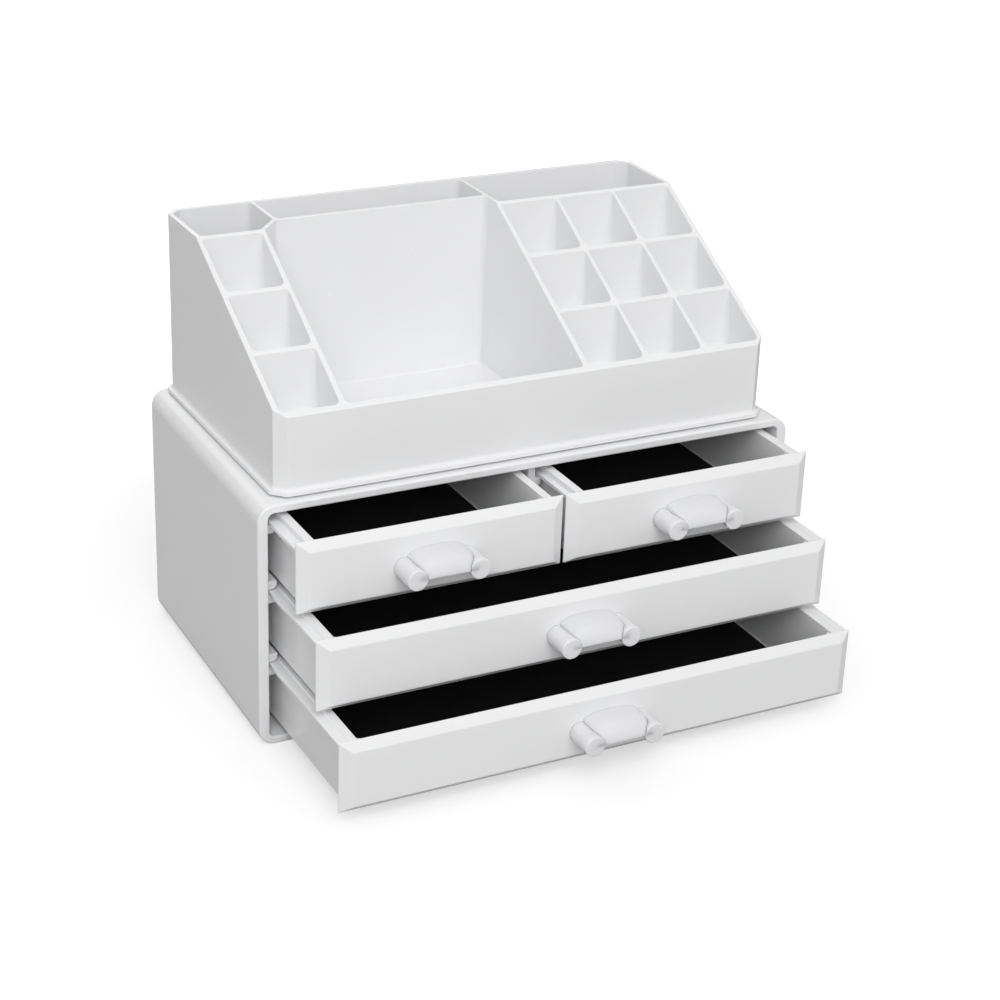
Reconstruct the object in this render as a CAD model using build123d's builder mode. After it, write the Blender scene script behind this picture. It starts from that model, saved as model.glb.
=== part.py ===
"""Makeup organizer: a four-drawer cabinet with a lift-off tray of sloped compartments.

Millimetres, +Z up, the drawers open towards -Y. The origin is the centre of the cabinet's underside.
The drawers stand part-open, each row further out than the one above it.
"""
import math
import os

from build123d import *

# Cabinet shell
cabinet_width = 235.0
cabinet_depth = 128.5
cabinet_height = 102.2
side_taper = 2.3  # each side draws in this much from front to back
profile_round = 6.7  # the four long edges
back_edge_round = 3.3
rim_round = 0.8
side_wall = 4.3
top_wall = 3.4
floor_wall = 3.1
back_wall = 2.5
opening_round = 2.7

# Wall that hangs between the two top drawers
divider_thickness = 3.0
divider_clearance = 1.1  # above the middle drawer

# Rails that carry the drawers' flanges
rail_height = 3.5
rail_round = 2.2
rail_setback = 0.8  # behind a closed drawer front
rail_gap_below = 0.2
rail_gap_above = 0.3
rail_box_gap = 0.6

# Drawer fronts, three rows that share the height of the opening
front_top_gap = 1.7
front_row_gap = 1.8
front_floor_gap = 2.2
front_side_gap = 1.4
front_pair_gap = 1.3
front_edge = 0.5  # flat edge behind the bevels
bevel_depth = 2.7
bevel_top = 3.7
bevel_side = 4.6
bevel_bottom = 2.7

# How far each row of drawers is pulled out
top_open = 25.9
middle_open = 44.9
bottom_open = 66.4

# Drawer boxes
box_wall_gap = 5.5  # cabinet side to the box's outer face
box_divider_gap = 3.7
box_back_gap = 1.5
box_bottom_drop = 0.6  # the front hangs this much below the box
box_back_round = 5.0
box_under_round = 1.0
lip_drop = 0.2  # below the top of the drawer front
box_front_drop = 1.2
box_front_wall = 1.8
top_flange_drop = 2.6
wide_flange_drop = 0.8
flange_thickness = 1.8
flange_side_gap = 1.5
flange_end_round = 3.0
pocket_wall = 3.6
pocket_draft = 2.0  # degrees
pocket_round = 3.0
pocket_floor_round = 1.0
box_floor = 1.6

# Black liner sheets
liner_thickness = 0.8
liner_clearance = 1.2
liner_round = 2.0

# Handles: two round posts with a curved hood between them
post_diameter = 8.6
post_length = 13.0
post_spacing = 26.0
post_cap_bevel = 0.5
handle_drop = 1.8  # below the drawer front's mid height
hood_lip_setback = 0.2  # behind the posts' caps
hood_lip_drop = 0.3  # below the posts' centres
hood_shoulder_setback = 2.0
hood_shoulder_rise = 3.6
hood_top_setback = 9.7
hood_top_rise = 7.4
hood_arch_rise = 7.1  # its highest line, back to the drawer front
hood_end_rise = 2.4  # beside the posts
hood_thickness = 1.5
hood_overlap = 1.6  # into each post

# Handle screws
screw_diameter = 3.0
screw_length = 10.0
screw_hole_clearance = 0.4
screw_pilot_clearance = 0.1
screw_pilot_spare = 0.6
screw_seat_clearance = 0.4  # flat seats for the heads in the sloping wall
screw_head_diameter = 5.6
screw_head_height = 1.8
screw_slot_width = 0.8
screw_slot_depth = 0.8

# Lift-off tray
tray_width = 215.0
tray_height = 77.3  # above the cabinet
tray_front_height = 32.1
tray_front_setback = 5.3
tray_back_setback = 2.0
tray_front_chamfer = 4.2
tray_back_chamfer = 5.2
tray_wall = 2.1
slope_run = 83.5  # from the tray's front to the top of the slope
foot_gap = 0.7
foot_ledge = 1.4
foot_flare = 2.0
foot_cove = 1.9
plinth_inset = 0.8
seat_depth = 1.0
seat_clearance = 0.4
tray_floor_gap = 0.8  # from the cabinet's top to the tray's floor plate
tray_floor = 2.0

# Compartments of the tray
cell_rows = 3
cell_columns = 3
partition_wall = 1.8  # between the middle, the back row and the blocks of small cells
cell_wall = 1.5  # between two small cells
left_cell_width = 24.9
middle_width = 102.4
middle_back_extra = 9.0  # the middle reaches this far behind the small cells
diagonal_run_x = 9.4  # slanting wall between the middle and the back left
diagonal_run_y = 11.0
deep_draft = 0.4  # degrees
deep_round = 2.2
deep_floor_round = 1.2
cell_depth = 12.0  # below the cell's lower rim
cell_draft = 1.5  # degrees
cell_round = 0.7
cell_floor_corner = 4.2
cell_floor_round = 3.2
cell_skin = 2.0

front_y = -cabinet_depth / 2
back_y = cabinet_depth / 2
inner_half = cabinet_width / 2 - side_wall
opening_top = cabinet_height - top_wall
front_thickness = front_edge + bevel_depth
rows_height = opening_top - front_top_gap - 2 * front_row_gap - front_floor_gap - floor_wall
front_height = rows_height / 3
rail_y = front_y + front_thickness + rail_setback

# Lowest points of the drawer fronts, from the top row down
top_front_base = opening_top - front_top_gap - front_height
middle_front_base = top_front_base - front_row_gap - front_height
bottom_front_base = middle_front_base - front_row_gap - front_height

# Tray in plan and in side view
tray_half = tray_width / 2
tray_front = front_y + tray_front_setback
tray_back = back_y - tray_back_setback
tray_base = cabinet_height + foot_gap
tray_front_top = cabinet_height + tray_front_height
tray_top = cabinet_height + tray_height
slope_end = tray_front + slope_run
slope = (tray_top - tray_front_top) / slope_run
tray_floor_base = cabinet_height + tray_floor_gap
tray_floor_top = tray_floor_base + tray_floor


def at_y(y):
    """Plane that faces the front, at depth y."""
    return Plane.XZ.offset(-y)


def span(low_x, high_x, low_y, high_y):
    """Rectangle between two corners, in the open sketch."""
    with Locations(((low_x + high_x) / 2, (low_y + high_y) / 2)):
        Rectangle(high_x - low_x, high_y - low_y)


def rounded_span(low_x, high_x, low_y, high_y, radius):
    """Rounded rectangle between two corners, in the open sketch."""
    with Locations(((low_x + high_x) / 2, (low_y + high_y) / 2)):
        RectangleRounded(high_x - low_x, high_y - low_y, radius)


def tray_outline(grow):
    """The tray's plan, grown by a margin, as a sketch of its own."""
    with BuildSketch() as outline:
        span(-tray_half, tray_half, tray_front, tray_back)
        chamfer(outline.vertices().group_by(Axis.Y)[0], tray_front_chamfer)
        chamfer(outline.vertices().group_by(Axis.Y)[-1], tray_back_chamfer)
        if grow != 0:
            offset(amount=grow, kind=Kind.INTERSECTION)
    return outline.sketch


def rail_section(wall_x, inward, depth, top_z):
    """Rail that stands off a wall at wall_x, its free lower corner rounded, as a sketch."""
    root_x = wall_x - inward * divider_thickness / 4
    tip_x = wall_x + inward * depth
    base_z = top_z - rail_height
    round_x = tip_x - inward * rail_round
    bend = rail_round * (1 - math.sqrt(0.5))
    with BuildSketch() as section:
        with BuildLine():
            Polyline((round_x, base_z), (root_x, base_z), (root_x, top_z), (tip_x, top_z))
            Line((tip_x, top_z), (tip_x, base_z + rail_round))
            ThreePointArc(
                (tip_x, base_z + rail_round),
                (tip_x - inward * bend, base_z + bend),
                (round_x, base_z),
            )
        make_face()
    return section.sketch


def hood_block(handle_x, handle_z, face_y, half_width, shrink):
    """Block under the hood's outer surface, or under its inner one, shrunk by its wall.

    From the side the block curves up and back from its lip. From the front it is an arch,
    which runs back to the drawer front.
    """
    cap_y = face_y - post_length
    base_z = handle_z - hood_lip_drop - shrink
    lip = (cap_y + hood_lip_setback + shrink, base_z)
    shoulder = (cap_y + hood_shoulder_setback + shrink, handle_z + hood_shoulder_rise - shrink)
    top_z = handle_z + hood_top_rise - shrink
    top = (cap_y + hood_top_setback + shrink / 2, top_z)
    arch_z = handle_z + hood_arch_rise - shrink
    end_z = handle_z + hood_end_rise - shrink
    with BuildPart() as block:
        with BuildSketch(Plane.YZ.offset(handle_x - half_width)):
            with BuildLine():
                ThreePointArc(lip, shoulder, top)
                Polyline(top, (face_y, top_z), (face_y, base_z), lip)
            make_face()
        extrude(amount=2 * half_width)
        with BuildSketch(at_y(face_y)):
            with BuildLine():
                ThreePointArc(
                    (handle_x - half_width, end_z),
                    (handle_x, arch_z),
                    (handle_x + half_width, end_z),
                )
                Polyline(
                    (handle_x + half_width, end_z),
                    (handle_x + half_width, base_z),
                    (handle_x - half_width, base_z),
                    (handle_x - half_width, end_z),
                )
            make_face()
        extrude(amount=post_length, mode=Mode.INTERSECT)
    return block.part


def cell_cutter(width, depth, height):
    """Space of one small compartment, drafted, with corners that widen towards a rounded floor."""
    draw_in = 2 * height * math.tan(math.radians(cell_draft))
    with BuildPart() as cutter:
        with BuildSketch(Plane.XY):
            RectangleRounded(width - draw_in, depth - draw_in, cell_floor_corner)
        with BuildSketch(Plane.XY.offset(height)):
            RectangleRounded(width, depth, cell_round)
        loft()
        fillet(cutter.edges().group_by(Axis.Z)[0], cell_floor_round)
    return cutter.part


def deep_cutter(corners):
    """Space of one deep compartment below its rim, drafted, with a rounded floor."""
    with BuildPart() as cutter:
        with BuildSketch() as plan:
            with BuildLine():
                Polyline(*corners, close=True)
            make_face()
            fillet(plan.vertices(), deep_round)
        extrude(amount=tray_floor_top - tray_top, taper=deep_draft)
        fillet(cutter.faces().sort_by(Axis.Z)[0].edges(), deep_floor_round)
    return cutter.part


def save(piece, name):
    """Label a finished piece and write it."""
    piece.part.label = name
    export_step(piece.part, f"parts/{name}.step")


os.makedirs("parts", exist_ok=True)

# Cabinet shell, with the tray's seat in its top, the hanging divider and the rails
side_rail_depth = box_wall_gap - rail_box_gap
divider_rail_depth = box_divider_gap - rail_box_gap
rail_length = back_y - back_wall / 2 - rail_y
with BuildPart() as cabinet_shell:
    with BuildSketch():
        back_half = cabinet_width / 2 - side_taper
        with BuildLine():
            Polyline(
                (-cabinet_width / 2, front_y),
                (cabinet_width / 2, front_y),
                (back_half, back_y),
                (-back_half, back_y),
                close=True,
            )
        make_face()
    extrude(amount=cabinet_height)
    sides = [cabinet_shell.faces().sort_by(Axis.X)[end] for end in (0, -1)]
    fillet([edge for side in sides for edge in side.edges().filter_by(Axis.Z, reverse=True)], profile_round)
    fillet(cabinet_shell.edges().group_by(Axis.Y)[-1], back_edge_round)
    with BuildSketch(at_y(front_y)):
        rounded_span(-inner_half, inner_half, floor_wall, opening_top, opening_round)
    extrude(amount=back_wall - cabinet_depth, mode=Mode.SUBTRACT)
    fillet(cabinet_shell.edges().group_by(Axis.Y)[0], rim_round)
    with BuildSketch(Plane.XY.offset(cabinet_height)):
        add(tray_outline(seat_clearance - plinth_inset))
    extrude(amount=-seat_depth, mode=Mode.SUBTRACT)
    with BuildSketch(at_y(rail_y)):
        divider_base = middle_front_base + front_height + divider_clearance
        span(-divider_thickness / 2, divider_thickness / 2, divider_base, opening_top + top_wall / 4)
    extrude(amount=-rail_length)
    with BuildSketch(at_y(rail_y)):
        for side in (-1, 1):
            top_rail = top_front_base + front_height - top_flange_drop - flange_thickness - rail_gap_below
            add(rail_section(side * inner_half, -side, side_rail_depth, top_rail))
            add(rail_section(side * divider_thickness / 2, side, divider_rail_depth, top_rail))
            for base in (middle_front_base, bottom_front_base):
                flange_top = base + front_height - wide_flange_drop
                lower_rail = flange_top - flange_thickness - rail_gap_below
                upper_rail = flange_top + rail_gap_above + rail_height
                add(rail_section(side * inner_half, -side, side_rail_depth, lower_rail))
                add(rail_section(side * inner_half, -side, side_rail_depth, upper_rail))
    extrude(amount=-rail_length)
save(cabinet_shell, "cabinet_shell")


def make_drawer(name, low_face, high_face, low_gap, high_gap, front_base, flange_drop, pulled):
    """One drawer: front, box, liner, handle and handle screws.

    The drawer runs between the upright faces low_face and high_face. low_gap and high_gap
    are the room from each face to the box, and pulled is how far the drawer is out.
    """
    face_y = front_y - pulled
    panel_y = face_y + front_thickness
    end_y = back_y - back_wall - box_back_gap - pulled
    front_top = front_base + front_height
    front_low = low_face + front_side_gap if low_face < 0 else front_pair_gap / 2
    front_high = high_face - front_side_gap if high_face > 0 else -front_pair_gap / 2
    handle_x = (front_low + front_high) / 2
    handle_z = front_base + front_height / 2 - handle_drop
    posts = [(handle_x - post_spacing / 2, handle_z), (handle_x + post_spacing / 2, handle_z)]
    hole_radius = (screw_diameter + screw_hole_clearance) / 2

    # Front: a slab with a raised flat, bevelled round its edges
    with BuildPart() as front:
        with BuildSketch(at_y(panel_y)):
            span(front_low, front_high, front_base, front_top)
        extrude(amount=front_thickness)
        for across, bevels in ((Axis.X, (bevel_side, bevel_side)), (Axis.Z, (bevel_bottom, bevel_top))):
            for end, bevel in zip((0, -1), bevels):
                flat = front.faces().sort_by(Axis.Y)[0]
                chamfer(flat.edges().sort_by(across)[end], bevel, bevel_depth, reference=flat)
        with BuildSketch(at_y(face_y)):
            with Locations(*posts):
                Circle(hole_radius)
        extrude(amount=-front_thickness, mode=Mode.SUBTRACT)
    save(front, f"{name}_front")

    # Box: lipped walls on a floor, flanges that hang on the rails, and a low wall behind the front
    box_low = low_face + low_gap
    box_high = high_face - high_gap
    box_base = front_base + box_bottom_drop
    box_top = front_top - lip_drop
    floor_top = box_base + box_floor
    pocket_low = box_low + pocket_wall
    pocket_high = box_high - pocket_wall
    pocket_front = panel_y + box_front_wall
    pocket_back = end_y - pocket_wall
    with BuildPart() as box:
        with BuildSketch(Plane.XY.offset(box_base)) as plan:
            span(box_low, box_high, panel_y, end_y)
            fillet(plan.vertices().group_by(Axis.Y)[-1], box_back_round)
        extrude(amount=box_top - box_base)
        fillet(box.faces().sort_by(Axis.Z)[0].edges().sort_by(Axis.Y)[1:], box_under_round)
        with BuildSketch(Plane.XY.offset(front_top - flange_drop)) as flange_plan:
            span(low_face + flange_side_gap, high_face - flange_side_gap, panel_y, end_y - box_back_round)
            fillet(flange_plan.vertices().group_by(Axis.Y)[-1], flange_end_round)
        extrude(amount=-flange_thickness)
        with BuildSketch(Plane.XY.offset(box_top)):
            rounded_span(pocket_low, pocket_high, pocket_front, pocket_back, pocket_round)
        extrude(amount=floor_top - box_top, taper=pocket_draft, mode=Mode.SUBTRACT)
        fillet(box.faces().filter_by(Axis.Z).sort_by(Axis.Z)[1].edges(), pocket_floor_round)
        with BuildSketch(Plane.XY.offset(box_top)):
            span(pocket_low, pocket_high, panel_y, pocket_front + pocket_round)
        extrude(amount=lip_drop - box_front_drop, mode=Mode.SUBTRACT)
        with BuildSketch(at_y(panel_y)):
            with Locations(*posts):
                Circle(hole_radius)
        extrude(amount=-2 * box_front_wall, mode=Mode.SUBTRACT)
        with BuildSketch(at_y(pocket_front)):
            with Locations(*posts):
                Circle(screw_head_diameter / 2 + screw_seat_clearance)
        extrude(amount=-screw_head_height, mode=Mode.SUBTRACT)
    save(box, f"{name}_box")

    # Liner: a flat sheet on the box's floor
    margin = (box_top - floor_top) * math.tan(math.radians(pocket_draft)) + liner_clearance
    with BuildPart() as liner:
        with BuildSketch(Plane.XY.offset(floor_top)):
            rounded_span(
                pocket_low + margin,
                pocket_high - margin,
                pocket_front + margin,
                pocket_back - margin,
                liner_round,
            )
        extrude(amount=liner_thickness)
    save(liner, f"{name}_liner")

    # Handle: round posts joined by a hood that is open below
    hood_half = post_spacing / 2 - post_diameter / 2 + hood_overlap
    with BuildPart() as handle:
        with BuildSketch(at_y(face_y)):
            with Locations(*posts):
                Circle(post_diameter / 2)
        extrude(amount=post_length)
        chamfer(handle.edges().group_by(Axis.Y)[0], post_cap_bevel)
        add(hood_block(handle_x, handle_z, face_y, hood_half, 0))
        add(
            hood_block(handle_x, handle_z, face_y, hood_half - hood_overlap, hood_thickness),
            mode=Mode.SUBTRACT,
        )
        with BuildSketch(at_y(face_y)):
            with Locations(*posts):
                Circle((screw_diameter + screw_pilot_clearance) / 2)
        pilot_depth = screw_length - box_front_wall - front_thickness + screw_pilot_spare
        extrude(amount=pilot_depth, mode=Mode.SUBTRACT)
    save(handle, f"{name}_handle")

    # Screws: slotted pan heads against the inside of the box
    with BuildPart() as screws:
        with BuildSketch(at_y(pocket_front)):
            with Locations(*posts):
                Circle(screw_diameter / 2)
        extrude(amount=screw_length)
        with BuildSketch(at_y(pocket_front)):
            with Locations(*posts):
                Circle(screw_head_diameter / 2)
        extrude(amount=-screw_head_height)
        chamfer(screws.edges().group_by(Axis.Y)[-1], screw_head_height / 4)
        with BuildSketch(at_y(pocket_front + screw_head_height)):
            with Locations(*posts):
                Rectangle(screw_head_diameter, screw_slot_width)
        extrude(amount=screw_slot_depth, mode=Mode.SUBTRACT)
    save(screws, f"{name}_handle_screws")


divider_half = divider_thickness / 2
top_row = (top_front_base, top_flange_drop, top_open)
make_drawer("top_left", -inner_half, -divider_half, box_wall_gap, box_divider_gap, *top_row)
make_drawer("top_right", divider_half, inner_half, box_divider_gap, box_wall_gap, *top_row)
for row_name, row_base, row_open in (
    ("middle", middle_front_base, middle_open),
    ("bottom", bottom_front_base, bottom_open),
):
    make_drawer(
        row_name, -inner_half, inner_half, box_wall_gap, box_wall_gap, row_base, wide_flange_drop, row_open
    )

# Walls of the tray's compartments, from the left and from the front
inner_low = -tray_half + tray_wall
inner_high = tray_half - tray_wall
left_high = inner_low + left_cell_width
middle_low = left_high + partition_wall
middle_high = middle_low + middle_width
right_low = middle_high + partition_wall
cells_front = tray_front + tray_wall
row_pitch = (slope_end - cells_front) / cell_rows
column_pitch = (inner_high + cell_wall - right_low) / cell_columns
cell_length = row_pitch - cell_wall
middle_back = slope_end + middle_back_extra
cells_back = tray_back - tray_wall
back_left_high = left_high + diagonal_run_x

# Where the slanting wall's front face meets the middle's left and back walls
diagonal_run = math.hypot(diagonal_run_x, diagonal_run_y)
diagonal_low_y = slope_end + partition_wall * (diagonal_run_y - diagonal_run) / diagonal_run_x
diagonal_high_x = (
    left_high + (middle_back_extra * diagonal_run_x + partition_wall * diagonal_run) / diagonal_run_y
)

# Plans of the compartments that are deep: middle, back left, back middle and back right
corner_cut = tray_back_chamfer - tray_wall * (2 - math.sqrt(2))
deep_plans = (
    (
        (middle_low, cells_front),
        (middle_low, diagonal_low_y),
        (diagonal_high_x, middle_back),
        (middle_high, middle_back),
        (middle_high, cells_front),
    ),
    (
        (inner_low, slope_end),
        (inner_low, cells_back - corner_cut),
        (inner_low + corner_cut, cells_back),
        (back_left_high, cells_back),
        (back_left_high, slope_end + diagonal_run_y),
        (left_high, slope_end),
    ),
    (
        (back_left_high + partition_wall, middle_back + partition_wall),
        (back_left_high + partition_wall, cells_back),
        (middle_high, cells_back),
        (middle_high, middle_back + partition_wall),
    ),
    (
        (right_low, slope_end),
        (right_low, cells_back),
        (inner_high - corner_cut, cells_back),
        (inner_high, cells_back - corner_cut),
        (inner_high, slope_end),
    ),
)

# Tray: one moulding with a flared foot, a plinth that drops in the seat, and sixteen compartments
cell_height = cell_depth + slope * row_pitch
with BuildPart() as top_tray:
    with BuildSketch(Plane.XY.offset(tray_base)):
        add(tray_outline(0))
    extrude(amount=tray_top - tray_base)
    with BuildSketch(Plane.YZ.offset(-tray_width)):
        with BuildLine():
            Polyline(
                (tray_front - tray_wall, tray_front_top - slope * tray_wall),
                (slope_end, tray_top),
                (slope_end, tray_top + tray_wall),
                (tray_front - tray_wall, tray_top + tray_wall),
                close=True,
            )
        make_face()
    extrude(amount=2 * tray_width, mode=Mode.SUBTRACT)
    with BuildSketch(Plane.XY.offset(tray_base)):
        add(tray_outline(foot_flare))
    extrude(amount=foot_ledge)
    ledge = top_tray.faces().filter_by(Axis.Z).group_by(Axis.Z)[1][0]
    fillet(ledge.inner_wires()[0].edges(), foot_cove)
    with BuildSketch(Plane.XY.offset(cabinet_height - seat_depth)):
        add(tray_outline(-plinth_inset))
    extrude(amount=seat_depth + foot_gap)
    with BuildSketch(Plane.XY.offset(cabinet_height - seat_depth)):
        add(tray_outline(-tray_wall))
    extrude(amount=seat_depth + tray_floor_gap, mode=Mode.SUBTRACT)

    # The middle and the back row reach from the top down to the floor plate
    with Locations((0, 0, tray_top)):
        for corners in deep_plans:
            add(deep_cutter(corners), mode=Mode.SUBTRACT)

    # Small cells step up the slope, over a hollow underside that steps with them
    for row in range(cell_rows):
        row_front = cells_front + row * row_pitch
        row_floor = tray_front_top + slope * (row_front - tray_front) - cell_depth
        row_middle = row_front + cell_length / 2
        with Locations(((inner_low + left_high) / 2, row_middle, row_floor)):
            add(cell_cutter(left_cell_width, cell_length, cell_height), mode=Mode.SUBTRACT)
        cell_width = column_pitch - cell_wall
        for column in range(cell_columns):
            column_middle = right_low + column * column_pitch + cell_width / 2
            with Locations((column_middle, row_middle, row_floor)):
                add(cell_cutter(cell_width, cell_length, cell_height), mode=Mode.SUBTRACT)
        with BuildSketch(Plane.XY.offset(tray_floor_base)):
            for low_x, high_x in ((inner_low, left_high), (right_low, inner_high)):
                rounded_span(low_x, high_x, row_front, slope_end - cell_wall, deep_round)
        extrude(amount=row_floor - cell_skin - tray_floor_base, mode=Mode.SUBTRACT)
save(top_tray, "top_tray")
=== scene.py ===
"""Looks of a makeup organizer: a cabinet of four part-open drawers under a lift-off tray.

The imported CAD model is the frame. The cabinet, the tray, the drawer boxes and their fronts are
carried over from it with softened edges, and the handles, liners and screws are modelled here at
the places it gives. Everything is in metres. X runs to the right, the drawers open towards -Y,
and Z is up.
"""
from __future__ import annotations

import logging
import math
from dataclasses import dataclass, field
from enum import Enum
from typing import Any, Callable

import bmesh
import bpy
from mathutils import Matrix, Vector

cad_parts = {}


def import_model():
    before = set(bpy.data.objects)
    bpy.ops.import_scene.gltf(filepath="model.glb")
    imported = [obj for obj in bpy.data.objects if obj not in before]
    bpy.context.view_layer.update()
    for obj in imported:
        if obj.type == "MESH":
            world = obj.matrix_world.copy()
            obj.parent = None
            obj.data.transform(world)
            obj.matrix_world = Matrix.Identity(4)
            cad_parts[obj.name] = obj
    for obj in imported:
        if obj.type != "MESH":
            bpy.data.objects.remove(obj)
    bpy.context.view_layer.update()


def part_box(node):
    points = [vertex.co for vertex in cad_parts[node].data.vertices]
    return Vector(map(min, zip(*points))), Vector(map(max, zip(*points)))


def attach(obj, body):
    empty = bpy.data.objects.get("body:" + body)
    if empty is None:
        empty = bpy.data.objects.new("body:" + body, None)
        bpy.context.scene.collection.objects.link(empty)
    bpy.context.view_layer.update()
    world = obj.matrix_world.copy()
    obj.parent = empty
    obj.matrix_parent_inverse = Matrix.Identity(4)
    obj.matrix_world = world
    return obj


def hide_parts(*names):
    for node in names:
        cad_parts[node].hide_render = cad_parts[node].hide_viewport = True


log = logging.getLogger("organizer")
MM = 0.001
NEAR = 0.001 * MM  # Places this close count as the same
MERGE = 0.002 * MM  # Corners of a CAD mesh this close become one
FLAT_ANGLE = 0.4  # Degrees up to which neighbouring faces of a CAD mesh are one flat
Colour = tuple[float, float, float]
Triple = tuple[float, float, float]


class Row(Enum):
    """The four drawers, by the names that their CAD nodes start with."""

    TOP_LEFT = "top_left"
    TOP_RIGHT = "top_right"
    MIDDLE = "middle"
    BOTTOM = "bottom"


class Slot(Enum):
    """Names for the material slots; nothing in this script uses them."""

    CABINET = "cabinet_plastic"
    TRAY = "tray_plastic"
    DRAWER = "drawer_plastic"
    HANDLE = "handle_plastic"
    LINER = "liner_felt"
    SCREW = "screw_steel"


# Modelling


def deselect_all() -> None:
    """Leave edit mode and select nothing."""
    if bpy.context.mode != "OBJECT":
        bpy.ops.object.mode_set(mode="OBJECT")
    bpy.ops.object.select_all(action="DESELECT")


def make_active(piece: bpy.types.Object) -> None:
    """Select one piece alone and make it active.

    Args:
        piece: The piece.
    """
    deselect_all()
    piece.select_set(True)
    bpy.context.view_layer.objects.active = piece


class Editing:
    """Edit mode on one piece, as a context.

    Args:
        piece: The mesh object to edit.
    """

    def __init__(self, piece: bpy.types.Object) -> None:
        """Keep the piece."""
        self.piece = piece

    def __enter__(self) -> "Editing":
        """Open edit mode with nothing selected.

        Returns:
            The context itself.
        """
        make_active(self.piece)
        bpy.ops.object.mode_set(mode="EDIT")
        bpy.ops.mesh.select_all(action="DESELECT")
        return self

    def __exit__(self, *_: Any) -> None:
        """Go back to object mode."""
        bpy.ops.object.mode_set(mode="OBJECT")

    def all(self) -> None:
        """Select the whole mesh."""
        bpy.ops.mesh.select_all(action="SELECT")

    def faces(self, test: Callable[[Vector, Vector], bool]) -> int:
        """Select the faces that pass a test.

        Args:
            test: Takes a face's middle and its normal.

        Returns:
            How many faces are selected.
        """
        return self._pick("FACE", lambda mesh: mesh.faces, lambda f: test(f.calc_center_median(), f.normal))

    def edges(self, test: Callable[[Vector, Vector], bool]) -> int:
        """Select the edges that pass a test.

        Args:
            test: Takes an edge's two ends.

        Returns:
            How many edges are selected.
        """
        return self._pick("EDGE", lambda mesh: mesh.edges, lambda e: test(e.verts[0].co, e.verts[1].co))

    def verts(self, test: Callable[[Vector], bool]) -> int:
        """Select the vertices that pass a test.

        Args:
            test: Takes a vertex's place.

        Returns:
            How many vertices are selected.
        """
        return self._pick("VERT", lambda mesh: mesh.verts, lambda v: test(v.co))

    def _pick(self, mode: str, items: Callable[[Any], Any], test: Callable[[Any], bool]) -> int:
        """Select the items of one kind that pass a test, and nothing else.

        Args:
            mode: The selection mode of their kind.
            items: Gives them all from the mesh.
            test: Takes one of them.

        Returns:
            How many are selected.
        """
        bpy.ops.mesh.select_mode(type=mode)
        bpy.ops.mesh.select_all(action="DESELECT")
        mesh = bmesh.from_edit_mesh(self.piece.data)
        chosen = [item for item in items(mesh) if test(item)]
        for item in chosen:
            item.select_set(True)
        mesh.select_flush_mode()
        bmesh.update_edit_mesh(self.piece.data)
        return len(chosen)


def apply_modifier(piece: bpy.types.Object, kind: str, **settings: Any) -> None:
    """Add a modifier and apply it.

    Args:
        piece: The mesh object that gets it.
        kind: The modifier's type.
        settings: Its properties, by name.
    """
    make_active(piece)
    modifier = piece.modifiers.new(kind.title(), kind)
    for name, value in settings.items():
        setattr(modifier, name, value)
    bpy.ops.object.modifier_apply(modifier=modifier.name)


def bake_place(piece: bpy.types.Object) -> None:
    """Put a piece's place, turn and scale in its mesh, so that its object sits at the origin."""
    make_active(piece)
    bpy.ops.object.transform_apply(location=True, rotation=True, scale=True)


def smooth(piece: bpy.types.Object, angle: float = 35.0) -> None:
    """Shade a piece smooth up to an angle, with its flat faces kept flat.

    Args:
        piece: The mesh object.
        angle: Edges that turn by more than this many degrees stay sharp.
    """
    make_active(piece)
    bpy.ops.object.shade_smooth_by_angle(angle=math.radians(angle))
    apply_modifier(
        piece, "WEIGHTED_NORMAL", mode="FACE_AREA", weight=60, keep_sharp=True, use_face_influence=True
    )


def carry_over(
    node: str, name: str, edge: float, bend: float = 38.0, crease: float = 35.0
) -> bpy.types.Object:
    """Copy a CAD node's mesh as a piece with softened edges.

    Flat faces are made whole, and hollow outlines among them are split, because the bevel would
    fold those over.

    Args:
        node: The CAD node.
        name: The new piece's name.
        edge: Width of the soft edges in metres.
        bend: Edges that turn by more than this many degrees are softened.
        crease: Edges that then turn by more than this many degrees are shaded sharp.

    Returns:
        The piece, which sits where the node sits.
    """
    source = bpy.data.objects[node]
    piece = bpy.data.objects.new(name, source.data.copy())
    bpy.context.scene.collection.objects.link(piece)
    with Editing(piece) as work:
        work.all()
        bpy.ops.mesh.remove_doubles(threshold=MERGE)
        work.all()
        bpy.ops.mesh.dissolve_limited(angle_limit=math.radians(FLAT_ANGLE))
        work.all()
        bpy.ops.mesh.vert_connect_concave()
    apply_modifier(
        piece,
        "BEVEL",
        width=edge,
        segments=2,
        limit_method="ANGLE",
        angle_limit=math.radians(bend),
        use_clamp_overlap=False,
        loop_slide=False,
        face_strength_mode="FSTR_ALL",
    )
    smooth(piece, crease)
    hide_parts(node)
    return piece


# Shader nodes


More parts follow.
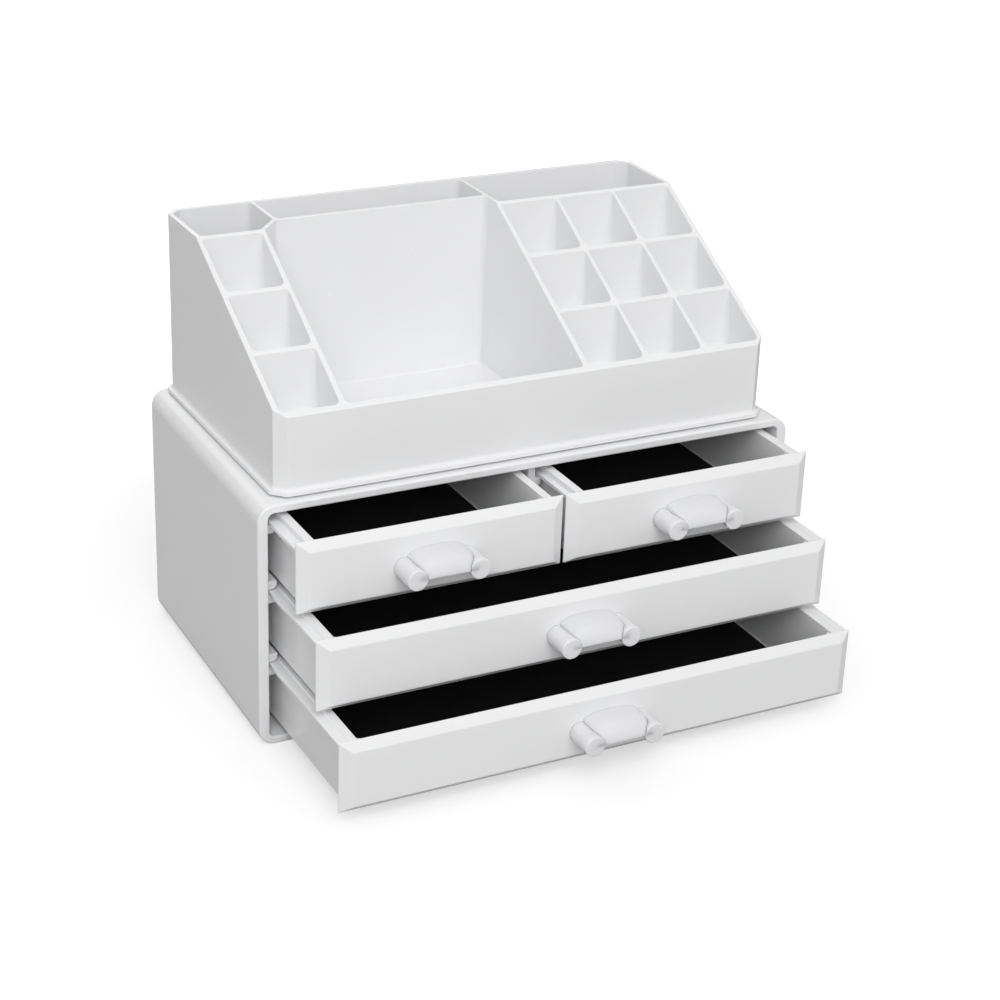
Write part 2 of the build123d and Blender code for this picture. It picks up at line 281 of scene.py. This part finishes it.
class Graph:
    """Short ways to add nodes to one tree and join them.

    Args:
        tree: A material's, world's or group's node tree.
    """

    def __init__(self, tree: bpy.types.NodeTree) -> None:
        """Keep the tree."""
        self.tree = tree

    def node(self, kind: str, inputs: dict[str, Any] | None = None, **settings: Any) -> bpy.types.Node:
        """Add a node.

        Args:
            kind: The node's type, without its ShaderNode prefix.
            inputs: Values or sockets for its inputs, by name.
            settings: Its properties, by name.

        Returns:
            The node.
        """
        made = self.tree.nodes.new(kind if kind.startswith("Node") else f"ShaderNode{kind}")
        for name, value in settings.items():
            setattr(made, name, value)
        for name, value in (inputs or {}).items():
            self.put(made.inputs[name], value)
        return made

    def put(self, socket: bpy.types.NodeSocket, value: Any) -> None:
        """Join a socket to another, or set its value.

        Args:
            socket: The input socket.
            value: Another node's output, or a plain value.
        """
        if isinstance(value, bpy.types.NodeSocket):
            self.tree.links.new(value, socket)
        else:
            socket.default_value = value

    def math(self, operation: str, *values: Any, clamp: bool = False) -> bpy.types.NodeSocket:
        """Add a Math node.

        Args:
            operation: Its operation.
            values: Numbers or sockets, in order.
            clamp: Whether the result is held between 0 and 1.

        Returns:
            Its output.
        """
        made = self.tree.nodes.new("ShaderNodeMath")
        made.operation = operation
        made.use_clamp = clamp
        for socket, value in zip(made.inputs, values):
            self.put(socket, value)
        return made.outputs[0]

    def noise(
        self, at: bpy.types.NodeSocket, scale: float, detail: float, rough: float = 0.5
    ) -> bpy.types.NodeSocket:
        """Add a noise texture and return its value.

        Args:
            at: The coordinates.
            scale: Waves to the metre.
            detail: Its octaves.
            rough: Its roughness.

        Returns:
            The noise, around a half.
        """
        made = self.node("TexNoise", {"Vector": at, "Scale": scale, "Detail": detail, "Roughness": rough})
        return made.outputs["Fac"]

    def blend(self, share: Any, first: Any, second: Any) -> bpy.types.NodeSocket:
        """Mix two colours.

        Args:
            share: How much of the second colour shows.
            first: The first colour.
            second: The second colour.

        Returns:
            The mixed colour.
        """
        made = self.node("Mix", data_type="RGBA")
        for index, value in ((0, share), (6, first), (7, second)):
            self.put(made.inputs[index], value)
        return made.outputs[2]

    def ramp(self, value: bpy.types.NodeSocket, low: float, high: float) -> bpy.types.NodeSocket:
        """Spread a value between two limits over 0 to 1, with soft ends.

        Args:
            value: The value.
            low: Where it gives 0.
            high: Where it gives 1.

        Returns:
            The spread value.
        """
        made = self.node("MapRange", {"Value": value, "From Min": low, "From Max": high})
        made.interpolation_type = "SMOOTHSTEP"
        return made.outputs["Result"]


def new_group(
    name: str, inputs: dict[str, tuple[str, Any]], outputs: dict[str, str]
) -> tuple[Graph, bpy.types.Node, bpy.types.Node]:
    """Start a shader node group.

    Args:
        name: The group's name.
        inputs: Socket type and default, by name.
        outputs: Socket type, by name.

    Returns:
        The group's graph, its input node and its output node.
    """
    tree = bpy.data.node_groups.new(name, "ShaderNodeTree")
    for label, (kind, default) in inputs.items():
        socket = tree.interface.new_socket(label, in_out="INPUT", socket_type=kind)
        socket.default_value = default
    for label, kind in outputs.items():
        tree.interface.new_socket(label, in_out="OUTPUT", socket_type=kind)
    graph = Graph(tree)
    return graph, graph.node("NodeGroupInput"), graph.node("NodeGroupOutput")


def mould_skin_group() -> bpy.types.NodeTree:
    """Skin of a moulded part: fine ripple, slow waviness, faint scuffs, and dust on what faces up.

    Returns:
        The group, built at its first use.
    """
    group = bpy.data.node_groups.get("mould_skin")
    if group:
        return group
    ripple_waves, slow_waves, patch_waves, speck_waves = 950.0, 26.0, 70.0, 1500.0
    scuff_turn, scuff_waves = (0.3, 0.5, 0.8), (60.0, 900.0, 240.0)
    scuff_tone, dust_tone, slow_tone = 0.02, 0.12, 0.012
    scuff_rough, dust_rough, patch_rough, scuff_depth = 0.25, 0.5, 0.035, 0.2
    worn_grey = (0.40, 0.40, 0.41, 1.0)
    graph, given, out = new_group(
        "mould_skin",
        {
            "Colour": ("NodeSocketColor", (0.86, 0.86, 0.87, 1.0)),
            "Gloss": ("NodeSocketFloat", 0.2),
            "Ripple": ("NodeSocketFloat", 0.3),
            "Waviness": ("NodeSocketFloat", 0.5),
            "Scuffs": ("NodeSocketFloat", 0.3),
            "Dust": ("NodeSocketFloat", 0.2),
        },
        {"Colour": "NodeSocketColor", "Roughness": "NodeSocketFloat", "Height": "NodeSocketFloat"},
    )
    at = graph.node("TexCoord").outputs["Object"]
    fine = graph.noise(at, ripple_waves, 2.0)
    slow = graph.noise(at, slow_waves, 1.0, 0.3)
    patch = graph.noise(at, patch_waves, 3.0)
    stretch = graph.node("Mapping", {"Vector": at, "Rotation": scuff_turn, "Scale": scuff_waves})
    lines = graph.noise(stretch.outputs["Vector"], 1.0, 1.0)
    scuff = graph.math("MULTIPLY", graph.ramp(lines, 0.70, 0.78), graph.ramp(patch, 0.54, 0.70))
    scuff = graph.math("MULTIPLY", scuff, given.outputs["Scuffs"])
    speck = graph.ramp(graph.noise(at, speck_waves, 1.0), 0.70, 0.78)
    normal = graph.node("NewGeometry").outputs["Normal"]
    up = graph.ramp(graph.node("SeparateXYZ", {"Vector": normal}).outputs["Z"], 0.5, 0.95)
    dust = graph.math("MULTIPLY", graph.math("MULTIPLY", speck, up), given.outputs["Dust"])
    tone = graph.math("MULTIPLY", scuff, scuff_tone)
    tone = graph.math("ADD", tone, graph.math("MULTIPLY", dust, dust_tone))
    tone = graph.math("ADD", tone, graph.math("MULTIPLY", graph.ramp(slow, 0.35, 0.65), slow_tone))
    uneven = graph.math("MULTIPLY", graph.ramp(patch, 0.3, 0.7), patch_rough)
    rough = graph.math("ADD", given.outputs["Gloss"], uneven)
    rough = graph.math("ADD", rough, graph.math("MULTIPLY", scuff, scuff_rough))
    rough = graph.math("ADD", rough, graph.math("MULTIPLY", dust, dust_rough), clamp=True)
    height = graph.math("MULTIPLY", fine, given.outputs["Ripple"])
    height = graph.math("ADD", height, graph.math("MULTIPLY", slow, given.outputs["Waviness"]))
    height = graph.math("SUBTRACT", height, graph.math("MULTIPLY", scuff, scuff_depth))
    graph.put(out.inputs["Colour"], graph.blend(tone, given.outputs["Colour"], worn_grey))
    graph.put(out.inputs["Roughness"], rough)
    graph.put(out.inputs["Height"], height)
    return graph.tree


def new_material(name: str) -> tuple[bpy.types.Material, Graph, bpy.types.Node]:
    """Start a material.

    Args:
        name: Its name.

    Returns:
        The material, its graph and its Principled BSDF.
    """
    material = bpy.data.materials.new(name)
    material.use_nodes = True
    graph = Graph(material.node_tree)
    return material, graph, material.node_tree.nodes["Principled BSDF"]


@dataclass(frozen=True)
class MouldedPlastic:
    """White plastic as it leaves a polished mould."""

    name: str
    colour: Colour
    gloss: float
    milk: float
    ripple: float = 0.2
    waviness: float = 1.0
    scuffs: float = 0.4
    dust: float = 0.25
    milk_depth: float = 1.6 * MM

    def build(self) -> bpy.types.Material:
        """Build the material.

        Returns:
            The material.
        """
        material, graph, shader = new_material(self.name)
        skin = graph.node("Group", node_tree=mould_skin_group())
        for label, value in (
            ("Colour", (*self.colour, 1.0)),
            ("Gloss", self.gloss),
            ("Ripple", self.ripple),
            ("Waviness", self.waviness),
            ("Scuffs", self.scuffs),
            ("Dust", self.dust),
        ):
            skin.inputs[label].default_value = value
        bump = graph.node("Bump", {"Height": skin.outputs["Height"], "Strength": 0.35, "Distance": 0.03 * MM})
        graph.put(shader.inputs["Base Color"], skin.outputs["Colour"])
        graph.put(shader.inputs["Roughness"], skin.outputs["Roughness"])
        graph.put(shader.inputs["Normal"], bump.outputs["Normal"])
        shader.inputs["IOR"].default_value = 1.49
        shader.inputs["Subsurface Weight"].default_value = self.milk
        shader.inputs["Subsurface Radius"].default_value = (1.0, 0.97, 0.94)
        shader.inputs["Subsurface Scale"].default_value = self.milk_depth
        return material


@dataclass(frozen=True)
class BlackFelt:
    """Short-pile felt, black, with a soft sheen."""

    name: str
    colour: Colour = (0.006, 0.006, 0.0065)
    warp_waves: float = 400.0
    warp_reach: float = 1.2 * MM
    fibre_waves: float = 2600.0
    fuzz_waves: float = 5200.0
    pile_shades: tuple[float, float] = (0.6, 1.5)

    def build(self) -> bpy.types.Material:
        """Build the material.

        Returns:
            The material.
        """
        material, graph, shader = new_material(self.name)
        at = graph.node("TexCoord").outputs["Object"]
        warp = graph.node("TexNoise", {"Vector": at, "Scale": self.warp_waves, "Detail": 2.0})
        bent = graph.node("VectorMath", operation="MULTIPLY_ADD")
        for socket, value in zip(bent.inputs, (warp.outputs["Color"], (self.warp_reach,) * 3, at)):
            graph.put(socket, value)
        fibres = graph.node("TexVoronoi", {"Vector": bent.outputs[0], "Scale": self.fibre_waves})
        fuzz = graph.noise(at, self.fuzz_waves, 3.0, 0.7)
        patch = graph.noise(at, 90.0, 3.0)
        height = graph.math("ADD", graph.math("MULTIPLY", fibres.outputs["Distance"], 0.6), fuzz)
        tone = graph.math("ADD", graph.math("MULTIPLY", patch, 0.5), graph.math("MULTIPLY", fuzz, 0.5))
        dark, light = ((*(share * part for part in self.colour), 1.0) for share in self.pile_shades)
        mix = graph.blend(graph.ramp(tone, 0.35, 0.65), dark, light)
        bump = graph.node("Bump", {"Height": height, "Strength": 0.5, "Distance": 0.12 * MM})
        graph.put(shader.inputs["Base Color"], mix)
        graph.put(shader.inputs["Normal"], bump.outputs["Normal"])
        shader.inputs["Roughness"].default_value = 0.95
        shader.inputs["Specular IOR Level"].default_value = 0.15
        shader.inputs["Sheen Weight"].default_value = 0.03
        shader.inputs["Sheen Roughness"].default_value = 0.5
        return material


@dataclass(frozen=True)
class ZincSteel:
    """Turned steel with a thin zinc plating."""

    name: str
    colour: Colour = (0.60, 0.60, 0.61)
    turning: Triple = (300.0, 9000.0, 300.0)
    cloud_shades: tuple[float, float] = (0.85, 1.12)

    def build(self) -> bpy.types.Material:
        """Build the material.

        Returns:
            The material.
        """
        material, graph, shader = new_material(self.name)
        at = graph.node("TexCoord").outputs["Object"]
        turned = graph.node("Mapping", {"Vector": at, "Scale": self.turning}).outputs["Vector"]
        grain = graph.noise(turned, 1.0, 2.0)
        cloud = graph.noise(at, 500.0, 3.0)
        dull, bright = ((*(share * part for part in self.colour), 1.0) for share in self.cloud_shades)
        mix = graph.blend(cloud, dull, bright)
        rough = graph.math("ADD", 0.22, graph.math("MULTIPLY", cloud, 0.2))
        bump = graph.node("Bump", {"Height": grain, "Strength": 0.3, "Distance": 0.02 * MM})
        graph.put(shader.inputs["Base Color"], mix)
        graph.put(shader.inputs["Roughness"], rough)
        graph.put(shader.inputs["Normal"], bump.outputs["Normal"])
        shader.inputs["Metallic"].default_value = 1.0
        return material


@dataclass
class Finishes:
    """The object's finishes, each built once."""

    cabinet: bpy.types.Material = field(init=False)
    tray: bpy.types.Material = field(init=False)
    drawer: bpy.types.Material = field(init=False)
    handle: bpy.types.Material = field(init=False)
    felt: bpy.types.Material = field(init=False)
    steel: bpy.types.Material = field(init=False)

    def __post_init__(self) -> None:
        """Build the materials."""
        white = (0.895, 0.897, 0.905)
        self.cabinet = MouldedPlastic("cabinet_white", white, gloss=0.17, milk=0.12).build()
        self.tray = MouldedPlastic("tray_white", white, gloss=0.20, milk=0.15).build()
        self.drawer = MouldedPlastic("drawer_white", white, gloss=0.18, milk=0.12).build()
        self.handle = MouldedPlastic(
            "handle_milky", (0.81, 0.81, 0.825), gloss=0.2, milk=0.7, dust=0.0, milk_depth=2.5 * MM
        ).build()
        self.felt = BlackFelt("liner_black_felt").build()
        self.steel = ZincSteel("screw_zinc").build()


def dress(piece: bpy.types.Object, material: bpy.types.Material, body: str) -> None:
    """Give a piece its finish and its body.

    Args:
        piece: The piece.
        material: Its material.
        body: The CAD body that it rides on.
    """
    piece.data.materials.clear()
    piece.data.materials.append(material)
    for face in piece.data.polygons:
        face.material_index = 0
    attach(piece, body)


# Sub-assemblies


@dataclass
class Cabinet:
    """The shell that holds the drawers."""

    edge: float = 0.25 * MM

    def build(self, finishes: Finishes) -> list[bpy.types.Object]:
        """Build the shell.

        Args:
            finishes: The object's materials.

        Returns:
            Its pieces.
        """
        shell = carry_over("cabinet_shell", "cabinet_housing", self.edge)
        dress(shell, finishes.cabinet, "cabinet")
        return [shell]


@dataclass
class Tray:
    """The lift-off tray of compartments."""

    edge: float = 0.3 * MM

    def build(self, finishes: Finishes) -> list[bpy.types.Object]:
        """Build the tray.

        Args:
            finishes: The object's materials.

        Returns:
            Its pieces.
        """
        tray = carry_over("top_tray", "compartment_tray", self.edge)
        dress(tray, finishes.tray, "tray")
        return [tray]


@dataclass(frozen=True)
class Screw:
    """A slotted pan-head screw, modelled point up and laid so that it points towards -Y."""

    shank: float = 3.0 * MM
    length: float = 10.0 * MM
    head: float = 5.6 * MM
    head_height: float = 1.8 * MM
    slot_width: float = 0.8 * MM
    slot_depth: float = 0.8 * MM
    pitch: float = 0.8 * MM
    thread_depth: float = 0.35 * MM
    point: float = 1.6 * MM
    dome_share: float = 0.45
    tip_share: float = 0.25

    def build(self, name: str, seat: Vector) -> bpy.types.Object:
        """Build the screw.

        Args:
            name: Its name.
            seat: Middle of its head's underside.

        Returns:
            The screw.
        """
        parts = [self.build_head(), self.build_core(), self.build_thread()]
        make_active(parts[0])
        for part in parts:
            part.select_set(True)
        bpy.ops.object.join()
        screw = bpy.context.object
        screw.name = name
        screw.rotation_euler.x = math.radians(90)
        screw.location = seat
        bake_place(screw)
        return screw

    def build_head(self) -> bpy.types.Object:
        """Model the head: a disc with a domed rim and a slot across it.

        Returns:
            The head.
        """
        bpy.ops.mesh.primitive_cylinder_add(
            vertices=40, radius=self.head / 2, depth=self.head_height, location=(0, 0, -self.head_height / 2)
        )
        head = bpy.context.object
        bake_place(head)
        with Editing(head) as work:
            work.edges(lambda a, b: max(a.z, b.z) < -self.head_height + NEAR)
            bpy.ops.mesh.bevel(offset=self.dome_share * self.head_height, segments=5)
        bpy.ops.mesh.primitive_cube_add(size=1, location=(0, 0, -self.head_height))
        cutter = bpy.context.object
        cutter.scale = (2 * self.head, self.slot_width, 2 * self.slot_depth)
        bake_place(cutter)
        apply_modifier(head, "BOOLEAN", object=cutter, operation="DIFFERENCE", solver="EXACT")
        bpy.data.objects.remove(cutter)
        return head

    def build_core(self) -> bpy.types.Object:
        """Model the shank under the thread, drawn in to a blunt point.

        Returns:
            The shank.
        """
        straight = self.length - self.point
        radius = self.shank / 2 - self.thread_depth
        bpy.ops.mesh.primitive_cylinder_add(
            vertices=24, radius=radius, depth=straight, location=(0, 0, straight / 2)
        )
        core = bpy.context.object
        bake_place(core)
        with Editing(core) as work:
            work.faces(lambda at, normal: at.z > straight - NEAR)
            bpy.ops.mesh.extrude_region_move(TRANSFORM_OT_translate={"value": (0, 0, self.point)})
            bpy.ops.transform.resize(
                value=(self.tip_share, self.tip_share, 1.0), center_override=(0, 0, self.length)
            )
        return core

    def build_thread(self) -> bpy.types.Object:
        """Model the thread: one flank pair, wound up the shank.

        Returns:
            The thread.
        """
        root, crest = self.shank / 2 - self.thread_depth, self.shank / 2
        flanks = [(root, 0, -self.pitch), (crest, 0, -0.5 * self.pitch), (root, 0, 0)]
        mesh = bpy.data.meshes.new("thread")
        mesh.from_pydata(flanks, [(0, 1), (1, 2)], [])
        thread = bpy.data.objects.new("thread", mesh)
        bpy.context.scene.collection.objects.link(thread)
        turns = int((self.length - self.point) / self.pitch)
        apply_modifier(thread, "SCREW", screw_offset=self.pitch, iterations=turns, steps=20, render_steps=20)
        with Editing(thread) as work:
            work.all()
            bpy.ops.mesh.remove_doubles(threshold=NEAR)
            work.all()
            bpy.ops.mesh.normals_make_consistent(inside=False)
        return thread


@dataclass(frozen=True)
class Pull:
    """A handle of two round posts with a hood between them, open below.

    Across, the hood is an arch whose sides end just inside the crests of the posts. From the side
    it is a quarter of an ellipse that rises from a lip at the front, and then runs back level to
    the drawer front.
    """

    post: float = 8.6 * MM
    spacing: float = 26.0 * MM
    cap_edge: float = 0.55 * MM
    overlap: float = 3.3 * MM
    lip_setback: float = 0.2 * MM
    lip_drop: float = 0.3 * MM
    top_rise: float = 7.4 * MM
    top_setback: float = 9.7 * MM
    side_share: float = 0.54
    squareness: float = 2.2
    rise_share: float = 0.7
    wall: float = 1.5 * MM
    hood_edge: float = 0.3 * MM
    steps_across: int = 40
    steps_along: int = 36

    def build(self, name: str, low: Vector, high: Vector) -> bpy.types.Object:
        """Build the handle.

        Args:
            name: Its name.
            low: Lowest corner of the CAD handle's box.
            high: Its highest corner.

        Returns:
            The handle.
        """
        centre = Vector(((low.x + high.x) / 2, 0, low.z + self.post / 2))
        posts = [
            self.build_post(centre.x + side * self.spacing / 2, centre.z, low.y, high.y) for side in (-1, 1)
        ]
        hood = self.build_hood(centre, low.y, high.y)
        make_active(hood)
        for post in posts:
            post.select_set(True)
        bpy.ops.object.join()
        hood.name = name
        return hood

    def build_post(self, x: float, z: float, cap_y: float, face_y: float) -> bpy.types.Object:
        """Model one post, with a softened rim round its cap.

        Args:
            x: Its middle, across.
            z: Its middle, in height.
            cap_y: Where its cap is.
            face_y: Where it stands on the drawer front.

        Returns:
            The post.
        """
        deselect_all()
        bpy.ops.mesh.primitive_cylinder_add(
            vertices=56,
            radius=self.post / 2,
            depth=face_y - cap_y,
            location=(x, (cap_y + face_y) / 2, z),
            rotation=(math.radians(90), 0, 0),
        )
        post = bpy.context.object
        bake_place(post)
        with Editing(post) as work:
            work.edges(lambda a, b: max(a.y, b.y) < cap_y + NEAR)
            bpy.ops.mesh.bevel(offset=self.cap_edge, segments=4)
        return post

    def build_hood(self, centre: Vector, cap_y: float, face_y: float) -> bpy.types.Object:
        """Model the hood from a grid bent to its form, then thicken it inwards.

        Args:
            centre: Middle of the handle, across and in height.
            cap_y: Where the posts' caps are.
            face_y: Where the drawer front is.

        Returns:
            The hood.
        """
        deselect_all()
        bpy.ops.mesh.primitive_grid_add(
            x_subdivisions=self.steps_across, y_subdivisions=self.steps_along, size=2.0
        )
        hood = bpy.context.object
        half = self.spacing / 2 - self.post / 2 + self.overlap
        lip_y, base = cap_y + self.lip_setback, centre.z - self.lip_drop
        top_y = cap_y + self.top_setback
        rise = self.top_rise + self.lip_drop
        for vertex in hood.data.vertices:
            across, along = vertex.co.x, (vertex.co.y + 1) / 2
            arch = (1 - abs(across) ** self.squareness) ** (1 / self.squareness)
            share = self.side_share + (1 - self.side_share) * arch
            turn = min(along / self.rise_share, 1.0) * math.pi / 2
            level = max(0.0, (along - self.rise_share) / (1 - self.rise_share))
            place_y = lip_y + (top_y - lip_y) * (1 - math.cos(turn)) + (face_y - top_y) * level
            vertex.co = (centre.x + across * half, place_y, base + rise * math.sin(turn) * share)
        apply_modifier(hood, "SOLIDIFY", thickness=self.wall, offset=-1.0, use_even_offset=True)
        with Editing(hood) as work:
            work.all()
            bpy.ops.mesh.normals_make_consistent(inside=False)
        apply_modifier(
            hood,
            "BEVEL",
            width=self.hood_edge,
            segments=3,
            limit_method="ANGLE",
            angle_limit=math.radians(50),
        )
        return hood


@dataclass
class Drawer:
    """One drawer: box, front, liner, handle and screws."""

    row: Row
    edge: float = 0.3 * MM
    liner_corner: float = 2.0 * MM
    liner_edge: float = 0.25 * MM
    screw: Screw = Screw()
    pull: Pull = Pull()

    @property
    def body(self) -> str:
        """The CAD body that the drawer's pieces ride on."""
        return f"{self.row.value}_drawer"

    def build(self, finishes: Finishes) -> list[bpy.types.Object]:
        """Build the drawer.

        Args:
            finishes: The object's materials.

        Returns:
            Its pieces.
        """
        name = self.row.value
        box = carry_over(f"{name}_box", f"{name}_drawer_box", self.edge)
        dress(box, finishes.drawer, self.body)
        front = carry_over(f"{name}_front", f"{name}_drawer_front", self.edge, bend=25.0, crease=6.0)
        dress(front, finishes.drawer, self.body)
        handle = self.pull.build(f"{name}_pull", *(Vector(corner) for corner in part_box(f"{name}_handle")))
        smooth(handle, angle=40.0)
        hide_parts(f"{name}_handle")
        dress(handle, finishes.handle, self.body)
        screws = self.build_screws()
        for screw in screws:
            dress(screw, finishes.steel, self.body)
        liner = self.build_liner()
        dress(liner, finishes.felt, self.body)
        return [box, front, handle, *screws, liner]

    def build_screws(self) -> list[bpy.types.Object]:
        """Model the two screws that hold the handle, at the places of the CAD ones.

        Returns:
            The screws, left and right.
        """
        name = self.row.value
        low, high = (Vector(corner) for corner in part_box(f"{name}_handle_screws"))
        reach = self.screw.head / 2
        seat_y, seat_z = high.y - self.screw.head_height, (low.z + high.z) / 2
        screws = []
        for side, seat_x in (("left", low.x + reach), ("right", high.x - reach)):
            screw = self.screw.build(f"{name}_pull_screw_{side}", Vector((seat_x, seat_y, seat_z)))
            smooth(screw, angle=30.0)
            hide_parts(f"{name}_handle_screws")
            screws.append(screw)
        return screws

    def build_liner(self) -> bpy.types.Object:
        """Model the felt sheet on the drawer's floor.


        Returns:
            The sheet.
        """
        name = self.row.value
        low, high = (Vector(corner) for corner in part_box(f"{name}_liner"))
        middle = (low + high) / 2
        width, length, thickness = high - low
        deselect_all()
        bpy.ops.mesh.primitive_plane_add(size=1, location=(middle.x, middle.y, low.z))
        liner = bpy.context.object
        liner.name = f"{name}_felt_liner"
        liner.scale = (width, length, 1)
        bake_place(liner)
        with Editing(liner) as work:
            work.verts(lambda at: True)
            bpy.ops.mesh.bevel(offset=self.liner_corner, affect="VERTICES", segments=6)
            work.all()
            bpy.ops.mesh.extrude_region_move(TRANSFORM_OT_translate={"value": (0, 0, thickness)})
            work.all()
            bpy.ops.mesh.normals_make_consistent(inside=False)
            work.edges(lambda a, b: min(a.z, b.z) > high.z - NEAR)
            bpy.ops.mesh.bevel(offset=self.liner_edge, segments=3)
        smooth(liner)
        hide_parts(f"{name}_liner")
        return liner


# Studio


@dataclass(frozen=True)
class Softbox:
    """One soft lamp."""

    name: str
    place: Triple
    size: float
    power: float
    aim: Triple = (0.0, -0.05, 0.09)

    def build(self) -> None:
        """Add the lamp."""
        lamp = bpy.data.lights.new(self.name, "AREA")
        lamp.shape = "SQUARE"
        lamp.size, lamp.energy = self.size, self.power
        holder = bpy.data.objects.new(self.name, lamp)
        holder.location = self.place
        holder.rotation_mode = "QUATERNION"
        holder.rotation_quaternion = (Vector(self.aim) - Vector(self.place)).to_track_quat("-Z", "Y")
        bpy.context.scene.collection.objects.link(holder)


@dataclass(frozen=True)
class Studio:
    """Floor, lamps, world and the camera at the photograph's place."""

    camera_place: Triple = (-0.393353, -0.777201, 0.454579)
    camera_forward: Triple = (0.42571929, 0.80501995, -0.41316579)
    camera_up: Triple = (0.15988072, 0.38250375, 0.91001595)
    lens: float = 81.299
    sensor: float = 36.0
    shift_x: float = 0.00076
    shift_y: float = -0.0017
    floor_colour: Colour = (0.50, 0.50, 0.50)
    floor_size: float = 12.0
    paper_waves: float = 900.0
    room: float = 0.51
    # Painted light: the floor glows for camera rays, weakest within these distances of the object, so the
    # floor there is painted darker
    painted_glow_reach: tuple[float, float] = (0.14, 0.50)
    floor_glow: tuple[float, float] = (0.55, 1.0)
    lamps: tuple[Softbox, ...] = (
        Softbox("high_softbox", (0.0, -0.724, 1.759), 1.2, 3.6),
        Softbox("front_softbox", (-0.52, -1.35, 1.24), 1.2, 15.0),
        Softbox("back_softbox", (0.0, 1.307, 1.169), 1.2, 4.0),
    )

    def build(self) -> None:
        """Build the studio."""
        self.build_camera()
        self.build_world()
        self.build_floor()
        for lamp in self.lamps:
            lamp.build()
        bpy.context.scene.view_settings.view_transform = "Standard"

    def build_camera(self) -> None:
        """Add the camera."""
        data = bpy.data.cameras.new("photo_camera")
        data.sensor_width, data.lens = self.sensor, self.lens
        data.shift_x, data.shift_y = self.shift_x, self.shift_y
        forward, up = Vector(self.camera_forward).normalized(), Vector(self.camera_up).normalized()
        right = forward.cross(up).normalized()
        turn = Matrix((right, right.cross(forward), -forward)).transposed().to_4x4()
        camera = bpy.data.objects.new("photo_camera", data)
        camera.matrix_world = Matrix.Translation(Vector(self.camera_place)) @ turn
        bpy.context.scene.collection.objects.link(camera)
        bpy.context.scene.camera = camera

    def build_world(self) -> None:
        """Light the object softly from all round, over a background that reads as white."""
        world = bpy.data.worlds.new("studio")
        bpy.context.scene.world = world
        world.use_nodes = True
        graph = Graph(world.node_tree)
        background = world.node_tree.nodes["Background"]
        seen = graph.node("LightPath").outputs["Is Camera Ray"]
        spread = graph.node("MapRange", {"Value": seen, "To Min": self.room, "To Max": 1.0})
        background.inputs["Color"].default_value = (1.0, 1.0, 1.0, 1.0)
        graph.put(background.inputs["Strength"], spread.outputs["Result"])

    def build_floor(self) -> None:
        """Lay the pale floor. It keeps the object's real shadow, and a painted glow that only the camera sees
        makes it white, weaker near the object so that the floor there is painted darker.
        """
        deselect_all()
        bpy.ops.mesh.primitive_plane_add(size=self.floor_size, location=(0, 0, 0))
        floor = bpy.context.object
        floor.name = "floor"
        material, graph, shader = new_material("floor_paper")
        at = graph.node("TexCoord").outputs["Object"]
        grain = graph.noise(at, self.paper_waves, 2.0)
        bump = graph.node("Bump", {"Height": grain, "Strength": 0.1, "Distance": 0.02 * MM})
        shader.inputs["Base Color"].default_value = (*self.floor_colour, 1.0)
        shader.inputs["Roughness"].default_value = 0.9
        shader.inputs["Specular IOR Level"].default_value = 0.2
        graph.put(shader.inputs["Normal"], bump.outputs["Normal"])
        # Painted light and shade: the camera sees the floor glow from the first floor_glow value near the
        # object to the second far off, which paints the floor round the real shadow darker
        away = graph.node("VectorMath", {0: at}, operation="LENGTH").outputs["Value"]
        near, far = self.painted_glow_reach
        glow = graph.node("MapRange", {"Value": graph.ramp(away, near, far)})
        glow.inputs["To Min"].default_value, glow.inputs["To Max"].default_value = self.floor_glow
        seen = graph.node("LightPath").outputs["Is Camera Ray"]
        shader.inputs["Emission Color"].default_value = (1.0, 1.0, 1.0, 1.0)
        graph.put(shader.inputs["Emission Strength"], graph.math("MULTIPLY", seen, glow.outputs["Result"]))
        floor.data.materials.append(material)


def main() -> None:
    """Build the scene."""
    logging.basicConfig(level=logging.INFO, format="%(name)s: %(message)s")
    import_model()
    finishes = Finishes()
    assemblies = [Cabinet(), Tray(), *(Drawer(row) for row in Row)]
    for assembly in assemblies:
        for piece in assembly.build(finishes):
            log.info("%s: %d faces", piece.name, len(piece.data.polygons))
    Studio().build()


if __name__ == "__main__":
    main()
